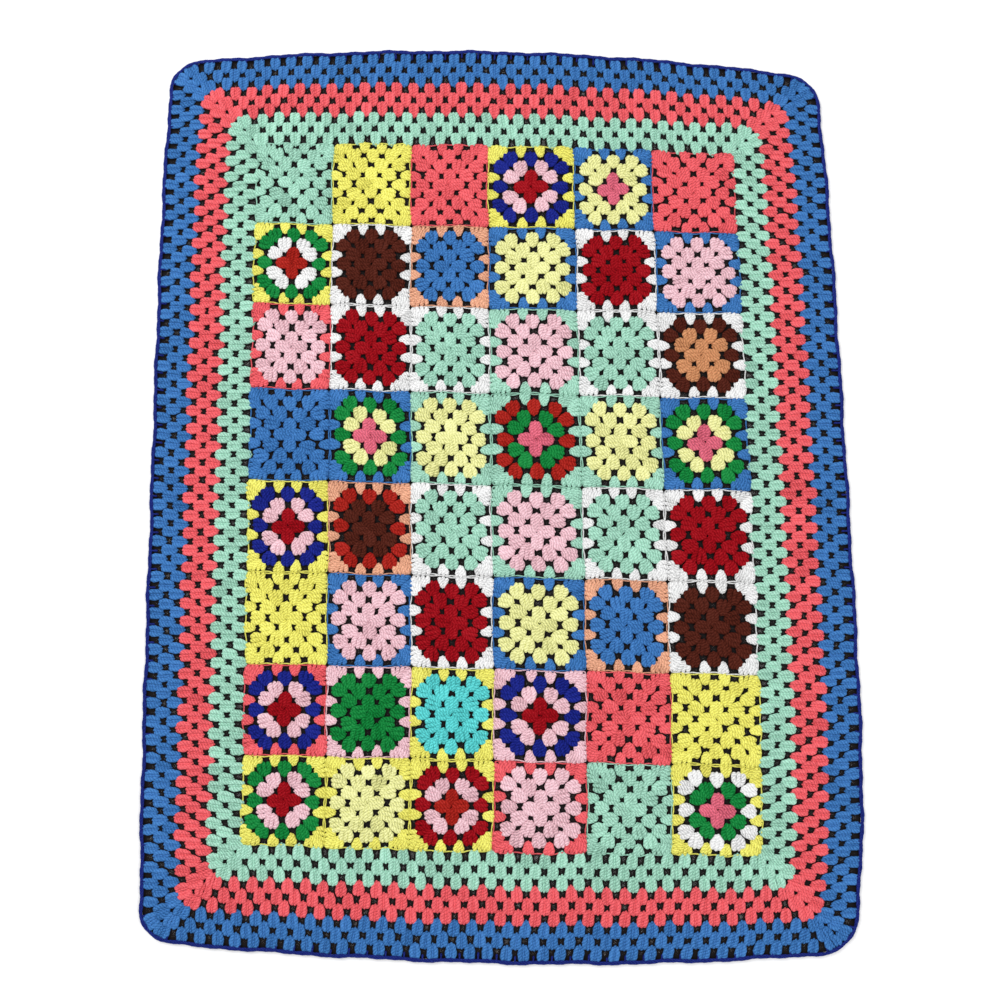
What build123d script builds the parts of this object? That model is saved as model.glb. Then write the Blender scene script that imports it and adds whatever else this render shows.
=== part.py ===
from build123d import *
import os
from math import cos, radians, sin

# A crocheted throw of 48 granny squares, 6 across and 8 down, with a border of three
# bands and a thin edging. It lies flat on Z = 0 and folds on three seams across its
# width: the top end and the bottom end turn in, and the two halves close like a book.
# So it is built as four panels, each of whole rows of squares with their border.
# +X is to the right, +Y runs along the length to the top end, and the origin is
# centred under the throw. Every solid is the plain slab that its stitches fill.

# Driving dimensions, in millimetres
COLUMN_WIDTHS = (113, 115, 113, 127, 115, 122)  # left to right
ROW_HEIGHTS = (123, 120, 124, 131, 129, 127, 124, 122)  # top to bottom
SIDE_ROUND = 14.5  # depth of one border round along the long sides
END_ROUND = 15.3  # depth of one border round along the two ends
ROUNDS_PER_BAND = 3
EDGING_WIDTH = 6.5  # the thin round of slip stitches on the outside
THICKNESS = 7.0  # a double crochet stitch in thick yarn, lying flat
GAP = 0.4  # air between neighbouring slabs

# The handmade shape: how far the throw is from a true rectangle
SHEAR = 0.023  # the right side lies lower than the left by this share of the width
FLARE = 17.0  # the right edge leans out by this much towards the bottom, and in above
# How far the left and the right corners of each end lie in from the middle of that end
TOP_BOW = (30.0, 30.0)
BOTTOM_BOW = (18.0, 26.0)
# How far the left and the right side turn in towards the corners of each end
TOP_TAPER = (11.0, 10.0)
BOTTOM_TAPER = (7.0, 32.0)

# Bands from the squares outwards, with the corner radius of each outer edge
BANDS = (("mint_band", 24.0), ("coral_band", 28.0), ("blue_band", 36.0), ("navy_edging", 42.0))
CORNER_STEPS = 3  # straight facets in each half of a rounded corner

# Panels from the top, each with its first and last row of squares
PANELS = (("top_end", 1, 1), ("upper_half", 2, 4), ("lower_half", 5, 7), ("bottom_end", 8, 8))
# Squares of the same colours in one row share a node: the row, then the two columns
TWINS = ((3, 3, 5), (4, 2, 6), (4, 3, 5), (5, 3, 5))

GRID_WIDTH = sum(COLUMN_WIDTHS)
GRID_LENGTH = sum(ROW_HEIGHTS)
COLUMN_LINES = [sum(COLUMN_WIDTHS[:i]) - GRID_WIDTH / 2 for i in range(len(COLUMN_WIDTHS) + 1)]
ROW_LINES = [GRID_LENGTH / 2 - sum(ROW_HEIGHTS[:i]) for i in range(len(ROW_HEIGHTS) + 1)]


def band_edge(index, inset=0.0):
    """Half width, half length and corner radius of the outer edge of band number index.

    Edge -1 is the edge of the squares. A positive inset moves the edge inwards.
    """
    rounds = ROUNDS_PER_BAND * min(index + 1, len(BANDS) - 1)
    edging = EDGING_WIDTH if index == len(BANDS) - 1 else 0.0
    half_width = GRID_WIDTH / 2 + rounds * SIDE_ROUND + edging - inset
    half_length = GRID_LENGTH / 2 + rounds * END_ROUND + edging - inset
    radius = BANDS[index][1] if index >= 0 else 0.0
    return half_width, half_length, radius


HALF_WIDTH, HALF_LENGTH, _ = band_edge(len(BANDS) - 1)


def handmade(x, y):
    """A point of the true rectangle, moved to where it lies on the handmade throw."""
    across = x / HALF_WIDTH
    along = y / HALF_LENGTH
    bow = (TOP_BOW if y > 0 else BOTTOM_BOW)[x > 0]
    left, right = TOP_TAPER if y > 0 else BOTTOM_TAPER
    taper = (left * (1 - across) - right * (1 + across)) / 2
    moved_x = x - FLARE * (1 + across) / 2 * along + taper * along**4
    moved_y = y - SHEAR * x - bow * across**2 * along**3 * abs(along)
    return moved_x, moved_y


def corner(edge, side, end, first, last):
    """Points on a rounded corner, between two angles in degrees from the X axis."""
    half_width, half_length, radius = edge
    if radius == 0:
        return [(side * half_width, end * half_length)]
    points = []
    for step in range(CORNER_STEPS + 1):
        angle = radians(first + (last - first) * step / CORNER_STEPS)
        x = half_width - radius + radius * cos(angle)
        y = half_length - radius + radius * sin(angle)
        points.append((side * x, end * y))
    return points


def end_path(edge, end):
    """The edge of a band along one end, from the middle of one corner to the other."""
    half_width, half_length, radius = edge
    reach = half_width - radius
    across = [(x, end * half_length) for x in COLUMN_LINES if abs(x) < reach]
    return corner(edge, -1, end, 45, 90) + across + corner(edge, 1, end, 90, 45)


def side_path(edge, side, low, high, end):
    """The edge of a band along one side, from low to high.

    end is 1 or -1 where that side runs on to the middle of the top or bottom corner.
    """
    half_width, half_length, radius = edge
    inner_rows = [y for y in ROW_LINES if low < y < high]
    levels = sorted({low, high, *inner_rows})
    if end > 0:
        levels = [y for y in levels if y < half_length - radius]
    if end < 0:
        levels = [y for y in levels if y > radius - half_length]
    path = [(side * half_width, y) for y in levels]
    if end > 0:
        path = path + corner(edge, side, 1, 0, 45)
    if end < 0:
        path = corner(edge, side, -1, 45, 0) + path
    return path


def shifted(points, dx, dy):
    return [(x + dx, y + dy) for x, y in points]


def outline_centre():
    """Centre of the box around the whole handmade outline."""
    edge = band_edge(len(BANDS) - 1)
    points = end_path(edge, 1) + end_path(edge, -1)
    for side in (-1, 1):
        points = points + side_path(edge, side, ROW_LINES[-1], ROW_LINES[0], 0)
        points = points + side_path(edge, side, ROW_LINES[-2], ROW_LINES[0], 1)
        points = points + side_path(edge, side, ROW_LINES[-1], ROW_LINES[1], -1)
    laid = [handmade(x, y) for x, y in points]
    xs = [x for x, _ in laid]
    ys = [y for _, y in laid]
    return (min(xs) + max(xs)) / 2, (min(ys) + max(ys)) / 2


CENTRE = outline_centre()


def slab(points):
    """A flat slab on the ground, over a polygon given on the true rectangle."""
    laid = [handmade(x, y) for x, y in points]
    face = make_face(Polyline([(x - CENTRE[0], y - CENTRE[1]) for x, y in laid], close=True))
    return extrude(face, amount=THICKNESS, dir=(0, 0, 1))


def square(row, column):
    """One granny square. Rows and columns are counted from 1."""
    left = COLUMN_LINES[column - 1] + GAP / 2
    right = COLUMN_LINES[column] - GAP / 2
    top = ROW_LINES[row - 1] - GAP / 2
    bottom = ROW_LINES[row] + GAP / 2
    return slab([(left, bottom), (right, bottom), (right, top), (left, top)])


def band_edges(band):
    """The inner and outer edge of a band, each drawn in by half the air gap."""
    outermost = band == len(BANDS) - 1
    return band_edge(band - 1, -GAP / 2), band_edge(band, 0.0 if outermost else GAP / 2)


MITRE = 0.7 * GAP  # sideways or lengthways, this opens half the gap across a diagonal


def end_strip(band, end):
    """The part of a band along the top (end 1) or bottom (end -1) of the throw."""
    inner, outer = (end_path(edge, end) for edge in band_edges(band))
    drawn_in = []
    for path in (outer, inner):
        first_half = [p for p in path if p[0] < 0]
        second_half = [p for p in path if p[0] >= 0]
        drawn_in.append(shifted(first_half, MITRE, 0) + shifted(second_half, -MITRE, 0))
    return slab(drawn_in[0] + drawn_in[1][::-1])


def side_strip(band, side, panel):
    """The part of a band along one side of a panel."""
    _, first_row, last_row = PANELS[panel]
    high = ROW_LINES[first_row - 1] - GAP / 2
    low = ROW_LINES[last_row] + GAP / 2
    end = {0: 1, len(PANELS) - 1: -1}.get(panel, 0)
    inner, outer = (side_path(edge, side, low, high, end) for edge in band_edges(band))
    if end > 0:
        inner, outer = clear_of_mitre(inner, high, -MITRE), clear_of_mitre(outer, high, -MITRE)
    if end < 0:
        inner, outer = clear_of_mitre(inner, low, MITRE), clear_of_mitre(outer, low, MITRE)
    return slab(outer + inner[::-1])


def clear_of_mitre(path, level, dy):
    """Moves the points beyond a level, which are the corner's, by dy."""
    return [(x, y + dy) if (y - level) * dy < 0 else (x, y) for x, y in path]


def write(name, solids):
    """Writes one node: a single slab, or a group of slabs that belong together."""
    shape = solids[0] if len(solids) == 1 else Compound(children=solids)
    shape.label = name
    export_step(shape, f"parts/{name}.step")


def write_squares():
    twins = {(row, column) for row, *pair in TWINS for column in pair}
    for row in range(1, len(ROW_HEIGHTS) + 1):
        for column in range(1, len(COLUMN_WIDTHS) + 1):
            if (row, column) not in twins:
                write(f"square_r{row}_c{column}", [square(row, column)])
    for row, first, second in TWINS:
        write(f"squares_r{row}_c{first}_and_c{second}", [square(row, first), square(row, second)])


def write_bands():
    for band, (name, _) in enumerate(BANDS):
        for panel, (place, _, _) in enumerate(PANELS):
            strips = [side_strip(band, side, panel) for side in (-1, 1)]
            if panel == 0:
                strips.append(end_strip(band, 1))
            if panel == len(PANELS) - 1:
                strips.append(end_strip(band, -1))
            write(f"{name}_{place}", strips)


os.makedirs("parts", exist_ok=True)
write_squares()
write_bands()
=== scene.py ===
"""A crocheted granny-square throw, spread flat: every stitch is a real yarn tube.

Lengths are in metres. +X is to the right, +Y along the length to the top end, +Z up.
Stitches are laid out on a true rectangle and then moved to where the handmade throw lies.
"""

import math

import bpy
import numpy as np
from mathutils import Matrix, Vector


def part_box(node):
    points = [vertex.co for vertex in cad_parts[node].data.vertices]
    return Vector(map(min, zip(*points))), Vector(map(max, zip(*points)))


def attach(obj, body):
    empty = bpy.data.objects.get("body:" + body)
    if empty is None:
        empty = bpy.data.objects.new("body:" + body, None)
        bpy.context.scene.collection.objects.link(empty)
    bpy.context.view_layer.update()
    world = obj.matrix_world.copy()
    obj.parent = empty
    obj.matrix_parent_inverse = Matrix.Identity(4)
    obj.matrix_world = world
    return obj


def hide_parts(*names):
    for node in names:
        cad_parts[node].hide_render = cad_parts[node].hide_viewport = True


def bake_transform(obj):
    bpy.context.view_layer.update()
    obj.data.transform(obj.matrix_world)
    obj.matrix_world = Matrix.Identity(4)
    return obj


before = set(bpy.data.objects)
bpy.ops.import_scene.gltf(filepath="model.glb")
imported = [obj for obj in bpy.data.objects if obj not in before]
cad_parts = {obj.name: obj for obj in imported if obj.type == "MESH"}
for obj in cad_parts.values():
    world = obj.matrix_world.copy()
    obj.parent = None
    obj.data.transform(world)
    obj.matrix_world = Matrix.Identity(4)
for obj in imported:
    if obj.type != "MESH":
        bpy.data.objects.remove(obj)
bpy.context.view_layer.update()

# ---------------------------------------------------------------- layout of the throw
# The driving dimensions of the CAD part
COLUMN_WIDTHS = (0.113, 0.115, 0.113, 0.127, 0.115, 0.122)
ROW_HEIGHTS = (0.123, 0.120, 0.124, 0.131, 0.129, 0.127, 0.124, 0.122)
SIDE_ROUND = 0.0145  # depth of one border round along the long sides
END_ROUND = 0.0153  # depth of one border round along the two ends
ROUNDS_PER_BAND = 3
EDGING_WIDTH = 0.0065
GAP = 0.0004  # air between neighbouring slabs of the CAD part
SHEAR = 0.023  # the right side lies lower than the left by this share of the width
FLARE = 0.017  # the right edge leans out by this much towards the bottom, and in above
# How far the left and the right corners of each end lie in from the middle of that end
TOP_BOW = (0.030, 0.030)
BOTTOM_BOW = (0.018, 0.026)
# How far the left and the right side turn in towards the corners of each end
TOP_TAPER = (0.011, 0.010)
BOTTOM_TAPER = (0.007, 0.032)

# Bands from the squares outwards: the yarn, which also names it, and the outer corner radius
BANDS = (("mint", 0.024), ("coral", 0.028), ("blue", 0.036))
EDGING_RADIUS = 0.042  # corner radius of the outer edge of the edging

GRID_WIDTH = sum(COLUMN_WIDTHS)
GRID_LENGTH = sum(ROW_HEIGHTS)
COLUMN_LINES = [sum(COLUMN_WIDTHS[:i]) - GRID_WIDTH / 2 for i in range(len(COLUMN_WIDTHS) + 1)]
ROW_LINES = [GRID_LENGTH / 2 - sum(ROW_HEIGHTS[:i]) for i in range(len(ROW_HEIGHTS) + 1)]
ROUNDS = ROUNDS_PER_BAND * len(BANDS)
HALF_WIDTH = GRID_WIDTH / 2 + ROUNDS * SIDE_ROUND + EDGING_WIDTH
HALF_LENGTH = GRID_LENGTH / 2 + ROUNDS * END_ROUND + EDGING_WIDTH

# Folds: the row line each lies on, the bodies above and below it, and how far it bends.
FOLDS = (
    (1, "top_end", "upper_half", 0.007),
    (4, "upper_half", "lower_half", 0.013),
    (7, "lower_half", "bottom_end", 0.007),
)
PANEL_ROWS = {"top_end": (1,), "upper_half": (2, 3, 4), "lower_half": (5, 6, 7), "bottom_end": (8,)}

# The yarns of the four rounds of each square, from the middle outwards; one word is all four
PATTERN = (
    ("mint", "yellow", "coral", "dark_red pink navy yellow",
     "rose pale_yellow pale_yellow blue", "coral"),
    ("brick white green yellow", "brown brown brown white", "blue blue blue peach",
     "pale_yellow pale_yellow pale_yellow blue", "dark_red dark_red dark_red white",
     "pink pink pink blue"),
    ("pink pink pink coral", "dark_red dark_red dark_red white", "mint mint mint white",
     "pink pink pink mint", "mint mint mint white", "tan tan brown white"),
    ("blue", "rose pale_yellow green blue", "pale_yellow pale_yellow pale_yellow mint",
     "rose green brick mint", "pale_yellow pale_yellow pale_yellow mint",
     "rose pale_yellow green blue"),
    ("dark_red pink navy yellow", "brown brown brick peach", "mint mint mint white",
     "pink pink pink mint", "mint mint mint white", "dark_red dark_red dark_red white"),
    ("yellow", "pink pink pink blue", "dark_red dark_red dark_red white",
     "pale_yellow pale_yellow pale_yellow blue", "blue blue blue peach",
     "brown brown brown white"),
    ("dark_red pink navy coral", "green green green pink",
     "turquoise turquoise turquoise yellow", "dark_red pink navy pink", "coral", "yellow"),
    ("dark_red pink green yellow", "pale_yellow pale_yellow pale_yellow yellow",
     "brick pink dark_red yellow", "pink pink pink coral", "mint", "rose green white yellow"),
)

# Yarn colours as the brightest strands look in soft light (sRGB)
YARNS = {
    "mint": (0.67, 0.88, 0.79),
    "coral": (0.99, 0.40, 0.43),
    "blue": (0.25, 0.49, 0.76),
    "navy": (0.10, 0.15, 0.55),
    "edging": (0.12, 0.18, 0.52),
    "yellow": (1.00, 0.97, 0.45),
    "pale_yellow": (0.99, 0.99, 0.67),
    "dark_red": (0.64, 0.01, 0.08),
    "brown": (0.34, 0.13, 0.08),
    "pink": (1.00, 0.80, 0.84),
    "rose": (0.91, 0.43, 0.52),
    "green": (0.04, 0.54, 0.24),
    "peach": (0.95, 0.69, 0.56),
    "turquoise": (0.37, 0.86, 0.86),
    "tan": (0.84, 0.58, 0.40),
    "white": (1.00, 1.00, 1.00),
    "brick": (0.69, 0.13, 0.09),
}


def handmade(points):
    """Points of the true rectangle, moved to where they lie on the handmade throw."""
    x, y, z = points[..., 0], points[..., 1], points[..., 2]
    across = x / HALF_WIDTH
    along = y / HALF_LENGTH
    bow = np.where(y > 0, np.where(x > 0, *TOP_BOW[::-1]), np.where(x > 0, *BOTTOM_BOW[::-1]))
    left, right = (np.where(y > 0, *ends) for ends in zip(TOP_TAPER, BOTTOM_TAPER))
    taper = (left * (1 - across) - right * (1 + across)) / 2
    moved_x = x - FLARE * (1 + across) / 2 * along + taper * along**4
    moved_y = y - SHEAR * x - bow * across**2 * along**3 * np.abs(along)
    return np.stack([moved_x, moved_y, z], axis=-1)


def centre_from_frame():
    """How far the CAD part was moved to centre it, from the box of its top left square."""
    low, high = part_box("square_r1_c1")
    columns = (COLUMN_LINES[0] + GAP / 2, COLUMN_LINES[1] - GAP / 2)
    rows = (ROW_LINES[0] - GAP / 2, ROW_LINES[1] + GAP / 2)
    corners = handmade(np.array([(x, y, 0.0) for x in columns for y in rows]))
    return np.array([corners[:, 0].min() - low.x, corners[:, 1].max() - high.y, 0.0])


CENTRE = centre_from_frame()

# ------------------------------------------------------------------ yarn tubes to mesh
SIDES = 10  # of a post's section
CORD_SIDES = 8
PLY = 0.15  # how deep the two plies of a yarn part, as a share of its radius
TIP = 0.6  # how far a tube's pointed end stands out, as a share of its radius there
LOW_POINT = 0.0002  # nothing lies lower than this above the floor

WANDER = 0.0009  # how far hand tension moves the rows from their lines
SHORT_WAVE_SHARE = 0.6  # size of the short waves next to the long ones
# The waves along X and along Y: radians per metre of X, radians per metre of Y, phase
LONG_WAVES = ((3, 41, 0.0), (47, -5, 0.0))
SHORT_WAVES = ((-13, 97, 1.3), (103, 17, 0.7))


def wander(points):
    """Slow waves in the rows, the same for every piece so that neighbours stay joined."""
    x, y = points[..., 0], points[..., 1]
    moved = points.copy()
    for axis, waves in enumerate(zip(LONG_WAVES, SHORT_WAVES)):
        long_wave, short_wave = (np.sin(a * x + b * y + phase) for a, b, phase in waves)
        moved[..., axis] += WANDER * (long_wave + SHORT_WAVE_SHARE * short_wave)
    return moved


class Stitches:
    """Collects yarn tubes, each a closed form, and makes one mesh of them."""

    def __init__(self, name, seed, tone=0.5):  # tone is the mean shade of its clusters
        self.name = name
        self.tone = tone
        self.rng = np.random.default_rng(seed)
        self.points, self.shades = [], []
        self.faces = {4: [], 3: []}
        self.face_uvs = {4: [], 3: []}
        self.face_yarns = {4: [], 3: []}
        self.yarns = []
        self.count = 0

    def yarn_index(self, yarn):
        if yarn not in self.yarns:
            self.yarns.append(yarn)
        return self.yarns.index(yarn)

    def tubes(self, lines, radius, turn, yarn, shade, sides, flat=1.0):
        """Adds closed tubes of two plies along lines, an array of tube, ring, xyz."""
        lines = handmade(wander(lines)) - CENTRE
        tube_count, rings, _ = lines.shape
        forward = np.gradient(lines, axis=1)
        forward /= np.linalg.norm(forward, axis=-1, keepdims=True)
        side = np.cross(forward, [0.0, 0.0, 1.0])
        side /= np.linalg.norm(side, axis=-1, keepdims=True)
        up = np.cross(side, forward)
        angle = 2 * math.pi * np.arange(sides) / sides
        lobes = 1 + PLY * np.cos(2 * (angle - turn[..., None]))
        reach = radius[..., None] * lobes
        ring = (
            lines[:, :, None]
            + side[:, :, None] * (np.cos(angle) * reach)[..., None]
            + up[:, :, None] * (np.sin(angle) * reach * flat)[..., None]
        )
        tips = lines[:, [0, -1]] + forward[:, [0, -1]] * np.stack(
            [-radius[:, 0], radius[:, -1]], axis=1
        )[..., None] * TIP
        points = np.concatenate([ring.reshape(tube_count, -1, 3), tips], axis=1)
        points[..., 2] = np.maximum(points[..., 2], LOW_POINT)
        self.points.append(points.reshape(-1, 3))
        self.shades.append(np.repeat(shade, points.shape[1]))
        length = np.linalg.norm(np.diff(lines, axis=1), axis=-1)
        along = np.concatenate([np.zeros((tube_count, 1)), np.cumsum(length, axis=1)], axis=1)
        self._wall(tube_count, rings, sides, along, yarn)
        self._ends(tube_count, rings, sides, along, yarn)
        self.count += points.shape[0] * points.shape[1]

    def _wall(self, tube_count, rings, sides, along, yarn):
        ring, corner = np.meshgrid(np.arange(rings - 1), np.arange(sides), indexing="ij")
        after = (corner + 1) % sides
        quad = np.stack(
            [ring * sides + after, ring * sides + corner,
             (ring + 1) * sides + corner, (ring + 1) * sides + after], axis=-1
        ).reshape(-1, 4)
        per_tube = rings * sides + 2
        start = self.count + np.arange(tube_count) * per_tube
        self._faces(4, quad[None] + start[:, None, None], yarn)
        u = np.stack([corner + 1, corner, corner, corner + 1], axis=-1) / sides
        level = np.stack([ring, ring, ring + 1, ring + 1], axis=-1).reshape(-1, 4)
        uv = np.stack(
            [np.broadcast_to(u.reshape(1, -1, 4), (tube_count, len(level), 4)),
             along[:, level]], axis=-1
        )
        self.face_uvs[4].append(uv.reshape(-1, 2))

    def _ends(self, tube_count, rings, sides, along, yarn):
        corner = np.arange(sides)
        after = (corner + 1) % sides
        last = (rings - 1) * sides
        first_tip = np.full(sides, rings * sides)
        first = np.stack([corner, after, first_tip], axis=-1)
        second = np.stack([last + after, last + corner, first_tip + 1], axis=-1)
        per_tube = rings * sides + 2
        start = self.count + np.arange(tube_count) * per_tube
        triangles = np.concatenate([first, second])
        self._faces(3, triangles[None] + start[:, None, None], yarn)
        u = np.stack([corner, corner + 1, corner + 0.5], axis=-1) / sides
        u = np.concatenate([u, u[:, [1, 0, 2]]])
        v = np.repeat(along[:, [0, -1]], sides, axis=1)[..., None]
        uv = np.stack(
            [np.broadcast_to(u, (tube_count, *u.shape)), np.broadcast_to(v, (tube_count, *u.shape))],
            axis=-1,
        )
        self.face_uvs[3].append(uv.reshape(-1, 2))

    def _faces(self, corners, faces, yarn):
        tube_count, per_tube = faces.shape[:2]
        self.faces[corners].append(faces.reshape(-1, corners))
        index = np.broadcast_to(np.asarray(yarn), (tube_count,))
        self.face_yarns[corners].append(np.repeat(index, per_tube))

    def build(self):
        """The mesh object, with a yarn coordinate (round, along) and a shade per stitch."""
        points = np.concatenate(self.points)
        quads, triangles = np.concatenate(self.faces[4]), np.concatenate(self.faces[3])
        corners = np.concatenate([quads.ravel(), triangles.ravel()])
        starts = np.concatenate(
            [np.arange(len(quads)) * 4, len(quads) * 4 + np.arange(len(triangles)) * 3]
        )
        mesh = bpy.data.meshes.new(self.name)
        mesh.vertices.add(len(points))
        mesh.vertices.foreach_set("co", points.astype(np.float32).ravel())
        mesh.loops.add(len(corners))
        mesh.loops.foreach_set("vertex_index", corners.astype(np.int32))
        mesh.polygons.add(len(starts))
        mesh.polygons.foreach_set("loop_start", starts.astype(np.int32))
        yarns = np.concatenate([*self.face_yarns[4], *self.face_yarns[3]])
        for yarn in self.yarns:
            mesh.materials.append(MATERIALS[yarn])
        mesh.polygons.foreach_set("material_index", yarns.astype(np.int32))
        mesh.polygons.foreach_set("use_smooth", np.ones(len(starts), bool))
        layer = mesh.uv_layers.new(name="yarn")
        uvs = np.concatenate([*self.face_uvs[4], *self.face_uvs[3]])
        layer.uv.foreach_set("vector", uvs.astype(np.float32).ravel())
        shade = mesh.attributes.new("shade", "FLOAT", "POINT")
        shade.data.foreach_set("value", np.concatenate(self.shades).astype(np.float32))
        mesh.update(calc_edges=True)
        piece = bpy.data.objects.new(self.name, mesh)
        bpy.context.scene.collection.objects.link(piece)
        return piece


# ------------------------------------------------------------------------------ yarns
def linear(colour):
    """sRGB to the linear values that shaders take."""
    return [c / 12.92 if c <= 0.04045 else ((c + 0.055) / 1.055) ** 2.4 for c in colour]


class Nodes:
    """Short ways to make and join the nodes of one material."""

    def __init__(self, name):
        self.material = bpy.data.materials.new(name)
        self.material.use_nodes = True
        self.tree = self.material.node_tree
        self.shader = self.tree.nodes["Principled BSDF"]

    def add(self, kind, **settings):
        node = self.tree.nodes.new(kind)
        for key, value in settings.items():
            setattr(node, key, value)
        return node

    def join(self, source, target):
        self.tree.links.new(source, target)

    def math(self, operation, *values):
        node = self.add("ShaderNodeMath", operation=operation)
        for socket, value in zip(node.inputs, values):
            if isinstance(value, (int, float)):
                socket.default_value = value
            else:
                self.join(value, socket)
        return node.outputs[0]

    def ramp(self, factor, stops):
        node = self.add("ShaderNodeValToRGB")
        elements = node.color_ramp.elements
        while len(elements) < len(stops):
            elements.new(1.0)
        for element, (position, colour) in zip(elements, stops):
            element.position = position
            element.color = (*colour, 1.0)
        self.join(factor, node.inputs[0])
        return node.outputs[0]


STRAND_PITCH = 0.0042  # how far one turn of the fine plies reaches along the yarn
FINE_PLIES = 3.0
FIBRE_SCALE, FIBRE_DETAIL = 1700.0, 3.0
SPECKLE_SCALE, SPECKLE_DETAIL = 650.0, 2.0
TWIST_UNEVENNESS = 1.3  # turns by which the plies wander
# How far the twist, the speckle and the fibres move the tone of the yarn: the twist paints shade
# into the grooves between the plies and a highlight onto their crests, the speckle is random tone
# with painted shade and highlight of the strands, and the fibres are random tone
TWIST_PAINTED_SHADE_AND_HIGHLIGHT = 0.24
SPECKLE_TONE_AND_PAINTED_SHADING = 0.8
FIBRE_TONE = 0.9
# The tones at which the yarn has its dark colour, dark tone with painted shade, its middle colour,
# and its light colour, light tone with a painted highlight
DARK_AT, MIDDLE_AT, LIGHT_AT = 0.05, 0.5, 0.88
DARK_POWER = 1.15  # the dark colour, partly painted shade, is also deeper
DARK_SHARE, MIDDLE_SHARE, LIGHT_SHARE = 0.42, 0.86, 1.12
FIBRE_PAINTED_HIGHLIGHT = 0.045  # painted highlight: how much paler the light colour is made, as if loose fibres caught the light
LUMINANCE = (0.21, 0.72, 0.07)  # shares of red, green and blue in how bright a colour looks
ROUGHNESS = 0.70
FIBRE_ROUGHNESS = 0.25  # more where a fibre lies
SHEEN = 0.05
SHEEN_ROUGHNESS = 0.45
SPECULAR = 0.08
# The relief: shares of the twist and of the fibres, how strong it is and how deep in metres
TWIST_RELIEF = 0.5
FIBRE_RELIEF = 0.9
BUMP_STRENGTH = 0.85
BUMP_DEPTH = 0.0007


def yarn_material(yarn):
    """Plied acrylic yarn: fine twist, loose fibres, speckle and a soft sheen, with shade and highlight
    painted into its colour along the twist and the speckle.
    """
    nodes = Nodes(f"{yarn}_yarn")
    base = linear(YARNS[yarn])
    coordinate = nodes.add("ShaderNodeUVMap", uv_map="yarn")
    split = nodes.add("ShaderNodeSeparateXYZ")
    nodes.join(coordinate.outputs[0], split.inputs[0])
    around, along = split.outputs[0], split.outputs[1]

    position = nodes.add("ShaderNodeNewGeometry").outputs["Position"]
    fibres = nodes.add("ShaderNodeTexNoise")
    fibres.inputs["Scale"].default_value = FIBRE_SCALE
    fibres.inputs["Detail"].default_value = FIBRE_DETAIL
    speckle = nodes.add("ShaderNodeTexNoise")
    speckle.inputs["Scale"].default_value = SPECKLE_SCALE
    speckle.inputs["Detail"].default_value = SPECKLE_DETAIL
    for texture in (fibres, speckle):
        nodes.join(position, texture.inputs["Vector"])
    shade = nodes.add("ShaderNodeAttribute", attribute_name="shade").outputs["Fac"]

    slant = nodes.math("MULTIPLY", around, FINE_PLIES)
    turns = nodes.math("MULTIPLY_ADD", along, 1 / STRAND_PITCH, slant)
    turns = nodes.math("MULTIPLY_ADD", speckle.outputs[0], TWIST_UNEVENNESS, turns)
    twist = nodes.math("SINE", nodes.math("MULTIPLY", turns, 2 * math.pi))

    # painted shade in the grooves between the plies and painted highlight on their crests, then random
    # tone with painted shade and highlight from the speckle
    tone = nodes.math("MULTIPLY_ADD", twist, TWIST_PAINTED_SHADE_AND_HIGHLIGHT, shade)
    for texture, weight in ((speckle, SPECKLE_TONE_AND_PAINTED_SHADING), (fibres, FIBRE_TONE)):
        away = nodes.math("SUBTRACT", texture.outputs[0], 0.5)
        tone = nodes.math("MULTIPLY_ADD", away, weight, tone)
    # the dark colour holds painted shade, and the light colour a painted highlight that leans towards
    # white
    dark_tone_and_painted_shade = [c**DARK_POWER * DARK_SHARE for c in base]
    middle = [c * MIDDLE_SHARE for c in base]
    painted_highlight = FIBRE_PAINTED_HIGHLIGHT * math.sqrt(sum(share * c for share, c in zip(LUMINANCE, base)))
    light = [min(1.0, c * LIGHT_SHARE + painted_highlight) for c in base]
    colour = nodes.ramp(tone, ((DARK_AT, dark_tone_and_painted_shade), (MIDDLE_AT, middle), (LIGHT_AT, light)))
    nodes.join(colour, nodes.shader.inputs["Base Color"])
    rough = nodes.math("MULTIPLY_ADD", fibres.outputs[0], FIBRE_ROUGHNESS, ROUGHNESS)
    nodes.join(rough, nodes.shader.inputs["Roughness"])
    nodes.shader.inputs["Sheen Weight"].default_value = SHEEN
    nodes.shader.inputs["Sheen Roughness"].default_value = SHEEN_ROUGHNESS
    nodes.shader.inputs["Sheen Tint"].default_value = (*base, 1.0)
    nodes.shader.inputs["Specular IOR Level"].default_value = SPECULAR

    fibre_height = nodes.math("MULTIPLY", fibres.outputs[0], FIBRE_RELIEF)
    height = nodes.math("MULTIPLY_ADD", twist, TWIST_RELIEF, fibre_height)
    bump = nodes.add("ShaderNodeBump")
    bump.inputs["Strength"].default_value = BUMP_STRENGTH
    bump.inputs["Distance"].default_value = BUMP_DEPTH
    nodes.join(height, bump.inputs["Height"])
    nodes.join(bump.outputs[0], nodes.shader.inputs["Normal"])
    return nodes.material


MATERIALS = {yarn: yarn_material(yarn) for yarn in YARNS}

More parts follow.
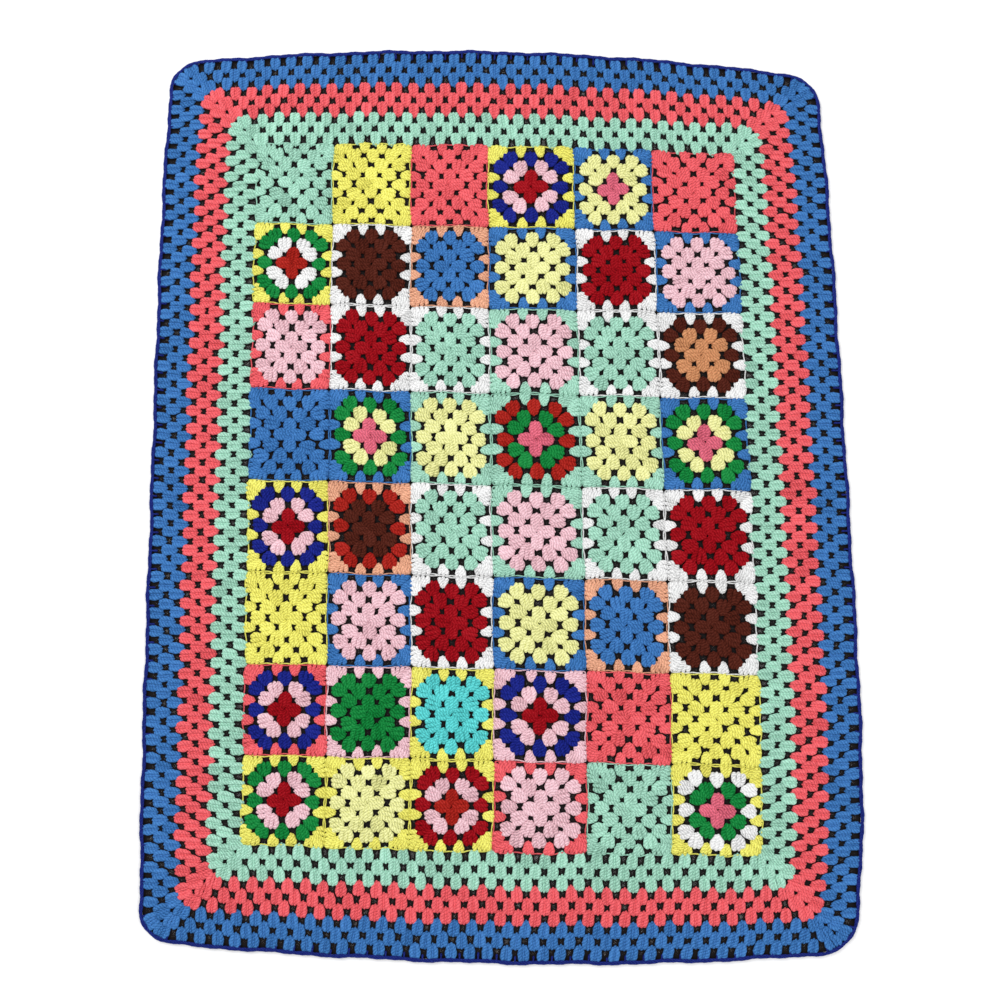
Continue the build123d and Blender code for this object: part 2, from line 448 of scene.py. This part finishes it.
# ------------------------------------------------------------------- rounds of crochet
POST_RINGS = np.array([0.0, 0.08, 0.22, 0.38, 0.54, 0.7, 0.84, 0.95, 1.0])
POST_FULLNESS = np.array([0.52, 0.78, 0.90, 0.96, 1.0, 1.03, 1.02, 0.86, 0.56])
SPREAD_AT = (0.0, 0.4, 0.75, 1.0)  # where along a post its spread is given
POST_RADIUS = 0.0031
POST_FLAT = 0.66  # the stitches lie flattened by their own weight and by washing
POST_TURNS = 1.1  # turns of the two plies from the foot of a post to its head
POST_HEIGHT = 0.0037  # of the middle of a post above the floor
FOOT_DROP = 0.0014
HEAD_DROP = 0.0006
MIDDLE_LENGTH = 1.05  # a cluster is domed: this is its middle post's share of its length
DOME = 0.15  # and this is how much less its outermost posts have
CORD_STEP = 0.0025
CORD_RADIUS = 0.0009
CORD_TURN = 0.017  # how far one turn of a cord's plies reaches along it
PLAIN_POSTS = 3
PLAIN = (PLAIN_POSTS, 0.0, 1.0, 1.0, 0.0)  # a cluster away from the corners, given like a fan

# Hand tension: how far stitches stray from the pattern
LEAN_STRAY = 0.05  # radians
PLACE_STRAY = 0.0005  # metres
LENGTH_STRAY = 0.03  # of a cluster, as a share
WIDTH_STRAY = 0.04  # of a cluster, as a share
POST_STRAY = 0.03  # of a post's thickness, as a share
LIFT_STRAY = 0.0002  # metres
# How far the shade of a cluster, of a post next to its cluster and of a cord strays
CLUSTER_SHADE_STRAY = 0.06
POST_SHADE_STRAY = 0.04
CORD_SHADE_STRAY = 0.05


class Round:
    """One round on a rounded rectangle, with count[0] clusters on each of the top and
    bottom sides and count[1] on each long side. It runs clockwise from the top left."""

    def __init__(self, half, radius, count, centre=(0.0, 0.0)):
        self.half, self.radius, self.count = half, radius, count
        self.centre = np.array(centre)

    def side(self, number):
        """Half the developed length of a side, from corner diagonal to corner diagonal."""
        along = self.half[number % 2]
        return along - self.radius + self.radius * math.pi / 4

    def pitch(self, number):
        return 2 * self.side(number) / self.count[number % 2]

    def place(self, number, distance):
        """Points and outward directions at distances from the middle of a side."""
        straight = self.half[number % 2] - self.radius
        past = np.maximum(np.abs(distance) - straight, 0.0)
        angle = past / self.radius
        across = np.sign(distance) * (np.minimum(np.abs(distance), straight) + self.radius * np.sin(angle))
        out = self.half[(number + 1) % 2] - self.radius + self.radius * np.cos(angle)
        direction = np.stack([np.sign(distance) * np.sin(angle), np.cos(angle)], axis=-1)
        spot = self._turned(np.stack([across, out], axis=-1), number) + self.centre
        return spot, self._turned(direction, number)

    @staticmethod
    def _turned(vector, number):
        u, v = vector[..., 0], vector[..., 1]
        x, y = ((u, v), (v, -u), (-u, -v), (-v, u))[number]
        return np.stack([x, y], axis=-1)

    def clusters(self):
        """Places and outward directions of the clusters, and which end of its side each
        is at: -1 at the first, 1 at the last, and 0 between them or alone."""
        found = []
        for number in range(4):
            count = self.count[number % 2]
            order = np.arange(count)
            distance = (order + 0.5 - count / 2) * self.pitch(number)
            place, outward = self.place(number, distance)
            corner = np.where(order == count - 1, 1.0, 0.0) - np.where(order == 0, 1.0, 0.0)
            found.append((place, outward, corner))
        return [np.concatenate(part) for part in zip(*found)]

    def edge(self, step=CORD_STEP):
        """Points round the whole edge, their outward directions and the phase of the
        clusters there: 1 at the middle of a cluster and -1 halfway between two."""
        found = []
        for number in range(4):
            half = self.side(number)
            samples = round(2 * half / step)
            distance = -half + 2 * half * np.arange(samples) / samples
            place, outward = self.place(number, distance)
            wave = np.cos(2 * math.pi * ((distance + half) / self.pitch(number) - 0.5))
            found.append((place, outward, wave))
        return [np.concatenate(part) for part in zip(*found)]


def add_clusters(stitches, place, outward, corner, yarn, length, spread, fan, full, middle):
    """Groups of double crochet posts, each from a narrow foot to a domed head.

    spread is how far a post stands from the next at the places SPREAD_AT. fan is for
    the clusters next to a corner: their posts, their lean towards it, how many times
    wider and fuller they are, and how much nearer to it they stand. middle says how far
    an inner post lies below the others and how thick it is next to them.
    """
    at_corner = corner != 0
    tangent = np.stack([outward[:, 1], -outward[:, 0]], axis=-1)
    for chosen, kind in ((~at_corner, PLAIN), (at_corner, fan)):
        if chosen.any():
            posts, splay, wider, fuller, nearer = kind
            shift = tangent[chosen] * (corner[chosen] * nearer)[:, None]
            group = (place[chosen] + shift, outward[chosen], corner[chosen] * splay)
            apart = np.array(spread) * wider
            add_posts(stitches, *group, yarn, length, apart, posts, full * fuller, middle)


def add_posts(stitches, place, outward, lean, yarn, length, spread, posts, full, middle):
    """Clusters of one kind, all with the same number of posts."""
    sink, thin = middle
    rng = stitches.rng
    count = len(place)
    lean = lean + rng.normal(0, LEAN_STRAY, count)
    tangent = np.stack([outward[:, 1], -outward[:, 0]], axis=-1)
    ahead = outward * np.cos(lean)[:, None] + tangent * np.sin(lean)[:, None]
    aside = np.stack([ahead[:, 1], -ahead[:, 0]], axis=-1)
    if posts > PLAIN_POSTS:  # a wide fan keeps its heads in line with the edge
        ahead, aside = outward + tangent * np.tan(lean)[:, None], tangent
    place = place + rng.normal(0, PLACE_STRAY, (count, 2))
    reach = length * (1 + rng.normal(0, LENGTH_STRAY, count))
    wide = 1 + rng.normal(0, WIDTH_STRAY, count)
    lift = rng.normal(0, LIFT_STRAY, count)
    tone = rng.normal(stitches.tone, CLUSTER_SHADE_STRAY, count)
    t = POST_RINGS
    gap = np.polyval(np.polyfit(SPREAD_AT, spread, len(SPREAD_AT) - 1), t)
    outermost = (posts - 1) / 2
    for post in range(posts):
        offset = post - outermost
        inner = abs(offset) < outermost
        dome = MIDDLE_LENGTH - DOME * (abs(offset) / outermost) ** 2
        along = (t[None] - 0.5) * (reach * dome)[:, None]
        across = offset * gap[None] * wide[:, None]
        flat = place[:, None] + ahead[:, None] * along[..., None] + aside[:, None] * across[..., None]
        drop = FOOT_DROP * (1 - t) ** 2 + HEAD_DROP * t**2 + (sink if inner else 0.0)
        height = POST_HEIGHT - drop[None] + lift[:, None]
        lines = np.concatenate([flat, height[..., None]], axis=-1)
        size = full * POST_RADIUS * (thin if inner else 1.0) * (1 + rng.normal(0, POST_STRAY, count))
        radius = size[:, None] * POST_FULLNESS[None]
        start = rng.uniform(0, math.pi, count)
        turn = start[:, None] + 2 * math.pi * POST_TURNS * t[None]
        shade = tone + rng.normal(0, POST_SHADE_STRAY, count)
        stitches.tubes(lines, radius, turn, stitches.yarn_index(yarn), shade, SIDES, POST_FLAT)


def add_cord(stitches, place, outward, wave, yarn, offset, swing, height, rise, radius=CORD_RADIUS):
    """A cord along a round's edge. swing and rise move it out and up with the clusters."""
    flat = place + outward * (offset + swing * wave)[:, None]
    level = height + rise * wave
    line = np.concatenate([flat, level[:, None]], axis=-1)[None]
    length = np.linalg.norm(np.diff(line[0], axis=0), axis=-1).sum()
    turn = np.linspace(0, 2 * math.pi * length / CORD_TURN, len(place))[None]
    size = np.full((1, len(place)), radius)
    shade = np.array([stitches.rng.normal(MIDDLE_AT, CORD_SHADE_STRAY)])
    stitches.tubes(line, size, turn, stitches.yarn_index(yarn), shade, CORD_SIDES)


# ----------------------------------------------------------------------------- squares
# Rounds of a square: where its clusters start and end and its corner radius, as shares
# of half a side, the fullness of its posts, how far apart they stand in metres, and the
# fan of the clusters at its corners
SQUARE_ROUNDS = (
    (0.03, 0.39, 0.10, 1.20, (0.0022, 0.0056, 0.0048, 0.0026), PLAIN),
    (0.27, 0.620, 0.06, 1.21, (0.0022, 0.0053, 0.0060, 0.0040), (3, 0.22, 1.06, 1.0, 0.0012)),
    (0.52, 0.855, 0.06, 1.20, (0.0020, 0.0052, 0.0060, 0.0038), (3, 0.20, 1.06, 1.0, 0.0014)),
    (0.74, 0.998, 0.03, 0.98, (0.0018, 0.0036, 0.0047, 0.0049), (4, 0.40, 1.28, 1.06, 0.0040)),
)
SQUARE_MIDDLE = (-0.0004, 0.86)  # an inner post of a square stands a little proud
MEAN_HALF = 0.0605  # half the side of the average square
# The cord round a square's last round: where it lies as a share of half a side, its
# corner radius, and its offset, swing, height and rise
SQUARE_EDGE = 0.990
SQUARE_EDGE_RADIUS = 0.003
SQUARE_CORD = (0.0, 0.0008, 0.0025, 0.0004)


def yarns_of(entry):
    """The yarn of each round of a square, from its entry in PATTERN."""
    words = entry.split()
    return words * len(SQUARE_ROUNDS) if len(words) == 1 else words


def square_node(row, column):
    """The CAD node that holds a square: alone, or as one of a pair."""
    single = f"square_r{row}_c{column}"
    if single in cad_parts:
        return single
    mine = f"c{column}"
    return next(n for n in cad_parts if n.startswith(f"squares_r{row}_") and mine in n.split("_"))


def make_square(row, column):
    left, right = COLUMN_LINES[column - 1], COLUMN_LINES[column]
    top, bottom = ROW_LINES[row - 1], ROW_LINES[row]
    half = np.array([(right - left) / 2, (top - bottom) / 2])
    centre = ((left + right) / 2, (top + bottom) / 2)
    yarns = yarns_of(PATTERN[row - 1][column - 1])
    seed = 100 * row + column
    stitches = Stitches(f"granny_square_r{row}_c{column}", seed)
    for number, (start, end, rounding, full, spread, fan) in enumerate(SQUARE_ROUNDS):
        count = (number + 1, number + 1)
        laid = Round(half * (start + end) / 2, half.min() * rounding, count, centre)
        length = (end - start) * half.mean()
        full = full * half.mean() / MEAN_HALF
        group = laid.clusters()
        add_clusters(stitches, *group, yarns[number], length, spread, fan, full, SQUARE_MIDDLE)
    edge = Round(half * SQUARE_EDGE, SQUARE_EDGE_RADIUS, count, centre)
    add_cord(stitches, *close(*edge.edge()), yarns[-1], *SQUARE_CORD)
    piece = stitches.build()
    node = square_node(row, column)
    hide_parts(node)
    move_with_folds(piece, row)


def close(place, outward, wave):
    """The same arrays with the first point again at the end."""
    return [np.concatenate([part, part[:1]]) for part in (place, outward, wave)]


def bend(piece):
    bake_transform(piece)


def move_with_folds(piece, row):
    """A square next to a fold is left where it lies, unattached, or rides on its panel."""
    for fold in FOLDS:
        if row in (fold[0], fold[0] + 1):
            bend(piece)
            return
    body = next(name for name, rows in PANEL_ROWS.items() if row in rows)
    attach(piece, body)


# -------------------------------------------------------------------------- the border
TOP_CLUSTERS = 30  # in the first round along an end; each round after has one more
SIDE_CLUSTERS = 42  # the same along a long side
INNER_RADIUS = 0.010  # corner radius of the inner edge of the first band
BAND_LENGTH = 0.0212  # of a post; the rounds overlap
BAND_TONE = 0.56  # the border's yarn is a little brighter than the squares'
BAND_FULLNESS = 1.04
BAND_SPREAD = (0.0028, 0.0045, 0.0046, 0.0032)
BAND_FAN = (4, 0.06, 1.04, 1.06, 0.0027)
BAND_MIDDLE = (0.0012, 0.74)  # an inner post of the border lies between and below the others
BAND_SEED, EDGING_SEED = 1000, 2000
# The edging's three cords: offset from the middle of the edging, swing and height
EDGING_CORDS = (
    (0.0015, 0.0003, 0.0036),
    (-0.0006, -0.0003, 0.0043),
    (0.0006, 0.0, 0.0018),
)
EDGING_RISE = 0.0003
EDGING_CORD_RADIUS = 0.00155
# The threads that run in from the edging: length, how far it strays, height at the
# edging, drop from there, radius, turns of the plies, mean shade and how far it strays
THREAD_LENGTH = 0.0085
THREAD_STRAY = 0.12
THREAD_HEIGHT = 0.0046
THREAD_DROP = 0.0024
THREAD_RADIUS = 0.00135
THREAD_TURNS = 0.6
THREAD_SHADE = 0.45
THREAD_SHADE_STRAY = 0.06
TOP_CUT = (ROW_LINES[1] + ROW_LINES[4]) / 2
BOTTOM_CUT = (ROW_LINES[4] + ROW_LINES[7]) / 2
STRETCHES = ("top", "bottom", "left", "right")
PANELS_OF = {
    "top": ("top_end", "upper_half"),
    "bottom": ("bottom_end", "lower_half"),
    "left": ("upper_half", "lower_half"),
    "right": ("upper_half", "lower_half"),
}


def border_round(number):
    """Round number (from 0) of the border, counted from the squares outwards."""
    band, within = divmod(number, ROUNDS_PER_BAND)
    inner = BANDS[band - 1][1] if band else INNER_RADIUS
    radius = inner + (BANDS[band][1] - inner) * (within + 0.5) / ROUNDS_PER_BAND
    half = (
        GRID_WIDTH / 2 + (number + 0.5) * SIDE_ROUND,
        GRID_LENGTH / 2 + (number + 0.5) * END_ROUND,
    )
    return Round(half, radius, (TOP_CLUSTERS + number, SIDE_CLUSTERS + number))


def in_stretch(place, stretch):
    """Which places belong to a stretch of the border."""
    x, y = place[:, 0], place[:, 1]
    if stretch == "top":
        return y > TOP_CUT
    if stretch == "bottom":
        return y <= BOTTOM_CUT
    between = (y <= TOP_CUT) & (y > BOTTOM_CUT)
    return between & (x < 0) if stretch == "left" else between & (x >= 0)


def run_of(mask, *parts):
    """The one run round the edge where mask holds, with one point more at its end."""
    start = int(np.flatnonzero(mask & ~np.roll(mask, 1))[0])
    order = (start + np.arange(mask.sum() + 1)) % len(mask)
    return [part[order] for part in parts]


def stretch_size(stretch, first):
    """Width and developed length of a band's stretch, the band starting at round first."""
    middle = border_round(first + 1)
    if stretch in ("left", "right"):
        return ROUNDS_PER_BAND * SIDE_ROUND, TOP_CUT - BOTTOM_CUT
    side = middle.side(1) - abs(TOP_CUT if stretch == "top" else BOTTOM_CUT)
    return ROUNDS_PER_BAND * (SIDE_ROUND + END_ROUND) / 2, 2 * (middle.side(0) + side)


def make_band(index, stretch):
    yarn = BANDS[index][0]
    first = index * ROUNDS_PER_BAND
    seed = BAND_SEED + 10 * index + STRETCHES.index(stretch)
    stitches = Stitches(f"{yarn}_band_{stretch}_stitches", seed, BAND_TONE)
    for number in range(first, first + ROUNDS_PER_BAND):
        laid = border_round(number)
        place, outward, corner = laid.clusters()
        mine = in_stretch(place, stretch)
        group = (place[mine], outward[mine], corner[mine])
        shape = (BAND_LENGTH, BAND_SPREAD, BAND_FAN, BAND_FULLNESS, BAND_MIDDLE)
        add_clusters(stitches, *group, yarn, *shape)
    piece = stitches.build()
    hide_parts(*(f"{yarn}_band_{panel}" for panel in PANELS_OF[stretch]))
    bend(piece)
    return piece


def make_edging(stretch):
    """Slip stitches round the outside, with a thread down between the last clusters."""
    seed = EDGING_SEED + STRETCHES.index(stretch)
    stitches = Stitches(f"navy_edging_{stretch}_stitches", seed)
    last = border_round(ROUNDS - 1)
    half = (HALF_WIDTH - EDGING_WIDTH / 2, HALF_LENGTH - EDGING_WIDTH / 2)
    rim = Round(half, EDGING_RADIUS, last.count)
    edge = rim.edge()
    run = run_of(in_stretch(edge[0], stretch), *edge)
    for cord in EDGING_CORDS:
        add_cord(stitches, *run, "edging", *cord, EDGING_RISE, EDGING_CORD_RADIUS)
    gaps = []
    for number in range(4):
        count = rim.count[number % 2]
        distance = (np.arange(1, count) - count / 2) * rim.pitch(number)
        gaps.append(rim.place(number, distance))
    place, outward = (np.concatenate(part) for part in zip(*gaps))
    mine = in_stretch(place, stretch)
    place, outward = place[mine], outward[mine]
    t = POST_RINGS
    count = len(place)
    reach = THREAD_LENGTH * (1 + stitches.rng.normal(0, THREAD_STRAY, count))
    flat = place[:, None] - outward[:, None] * (t[None] * reach[:, None])[..., None]
    height = np.broadcast_to(THREAD_HEIGHT - THREAD_DROP * t**2, (count, len(t)))
    lines = np.concatenate([flat, height[..., None]], axis=-1)
    radius = np.broadcast_to(THREAD_RADIUS * POST_FULLNESS, (count, len(t)))
    turn = np.broadcast_to(2 * math.pi * THREAD_TURNS * t, (count, len(t)))
    shade = stitches.rng.normal(THREAD_SHADE, THREAD_SHADE_STRAY, count)
    stitches.tubes(lines, radius, turn, stitches.yarn_index("edging"), shade, CORD_SIDES)
    piece = stitches.build()
    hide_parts(*(f"navy_edging_{panel}" for panel in PANELS_OF[stretch]))
    bend(piece)
    return piece


def make_border():
    for stretch in STRETCHES:
        edging = make_edging(stretch)
        for index in range(len(BANDS)):
            piece = make_band(index, stretch)
            size = stretch_size(stretch, index * ROUNDS_PER_BAND)


# ------------------------------------------------------------------- floor and lights
FLOOR_SIZE = 40.0
FLOOR_COLOUR = (0.93, 0.93, 0.93)
FLOOR_ROUGHNESS = 0.9
FLOOR_SPECULAR = 0.1
# The floor in the gaps, with shade painted into its colour: how near stitches have to be to shut it in,
# how open it is where it is fully dark and where it is fully pale, and the samples that measure it
GAP_PAINTED_SHADE = (0.012, 0.010, 0.010)
GAP_REACH = 0.010
GAP_DARK_AT, GAP_PALE_AT = 0.86, 0.97
GAP_SAMPLES = 12
GAP_INSET = 0.003  # how far in from the outer edge the floor may take painted shade
OUTLINE_STEP = 0.01
WORLD_STRENGTH = 0.66
# Area lights, which aim at the middle of the throw: name, place, size and power in watts
LIGHTS = (
    ("key", (-1.6, 1.4, 2.6), 2.0, 62.0),
    ("fill", (1.8, -1.2, 2.8), 2.4, 38.0),
)


def floor_material(name, gaps):
    """The pale floor. With gaps, shade is painted into it, dark where stitches shut it in."""
    nodes = Nodes(name)
    nodes.shader.inputs["Base Color"].default_value = (*FLOOR_COLOUR, 1.0)
    if gaps:
        # painted shade: the floor's colour goes dark where nearby stitches occlude it
        openness = nodes.add("ShaderNodeAmbientOcclusion", samples=GAP_SAMPLES)
        openness.inputs["Distance"].default_value = GAP_REACH
        stops = ((GAP_DARK_AT, GAP_PAINTED_SHADE), (GAP_PALE_AT, FLOOR_COLOUR))
        colour = nodes.ramp(openness.outputs["AO"], stops)
        nodes.join(colour, nodes.shader.inputs["Base Color"])
    nodes.shader.inputs["Roughness"].default_value = FLOOR_ROUGHNESS
    nodes.shader.inputs["Specular IOR Level"].default_value = FLOOR_SPECULAR
    return nodes.material


def make_floor():
    """A plain pale floor. The part of it right under the throw has shade painted into it, dark only where
    the stitches shut it in, so that the gaps between them show dark."""
    bpy.ops.mesh.primitive_plane_add(size=FLOOR_SIZE)
    floor = bpy.context.object
    floor.name = "floor"
    floor.data.materials.append(floor_material("floor", False))

    inset = Round((HALF_WIDTH - GAP_INSET, HALF_LENGTH - GAP_INSET), EDGING_RADIUS, (1, 1))
    place, _, _ = inset.edge(OUTLINE_STEP)
    outline = handmade(np.column_stack([place, np.zeros(len(place))])) - CENTRE
    outline[:, 2] = LOW_POINT / 4
    mesh = bpy.data.meshes.new("floor_painted_shade_under_throw")
    mesh.from_pydata(outline[::-1].tolist(), [], [list(range(len(outline)))])
    mesh.materials.append(floor_material("floor_painted_shade_under_throw", True))
    under = bpy.data.objects.new("floor_painted_shade_under_throw", mesh)
    bpy.context.scene.collection.objects.link(under)


def make_lights():
    scene = bpy.context.scene
    world = bpy.data.worlds.new("studio")
    world.use_nodes = True
    background = world.node_tree.nodes["Background"]
    background.inputs["Color"].default_value = (1.0, 1.0, 1.0, 1.0)
    background.inputs["Strength"].default_value = WORLD_STRENGTH
    scene.world = world
    for name, place, size, power in LIGHTS:
        light = bpy.data.lights.new(name, "AREA")
        light.size = size
        light.energy = power
        lamp = bpy.data.objects.new(name, light)
        lamp.location = place
        aim = -np.array(place)
        tilt = math.atan2(math.hypot(aim[0], aim[1]), -aim[2])
        lamp.rotation_euler = (tilt, 0.0, math.atan2(aim[0], -aim[1]) + math.pi)
        scene.collection.objects.link(lamp)


CAMERA_TILT = math.radians(6.96)
CAMERA_DISTANCE = 1.684
CAMERA_TARGET = (-0.0024, -0.0185)
CAMERA_LENS = 43.2  # millimetres, and the sensor's width too
CAMERA_SENSOR = 36.0


def make_camera():
    """Almost straight above, leaning back towards the bottom end."""
    camera = bpy.data.cameras.new("camera")
    camera.lens = CAMERA_LENS
    camera.sensor_width = CAMERA_SENSOR
    seen_from = bpy.data.objects.new("camera", camera)
    seen_from.location = (
        CAMERA_TARGET[0],
        CAMERA_TARGET[1] - CAMERA_DISTANCE * math.sin(CAMERA_TILT),
        CAMERA_DISTANCE * math.cos(CAMERA_TILT),
    )
    seen_from.rotation_euler = (CAMERA_TILT, 0.0, 0.0)
    bpy.context.scene.collection.objects.link(seen_from)
    bpy.context.scene.camera = seen_from


make_camera()
for row in range(1, len(ROW_HEIGHTS) + 1):
    for column in range(1, len(COLUMN_WIDTHS) + 1):
        make_square(row, column)
make_border()
make_floor()
make_lights()
bpy.context.scene.view_settings.view_transform = "Standard"
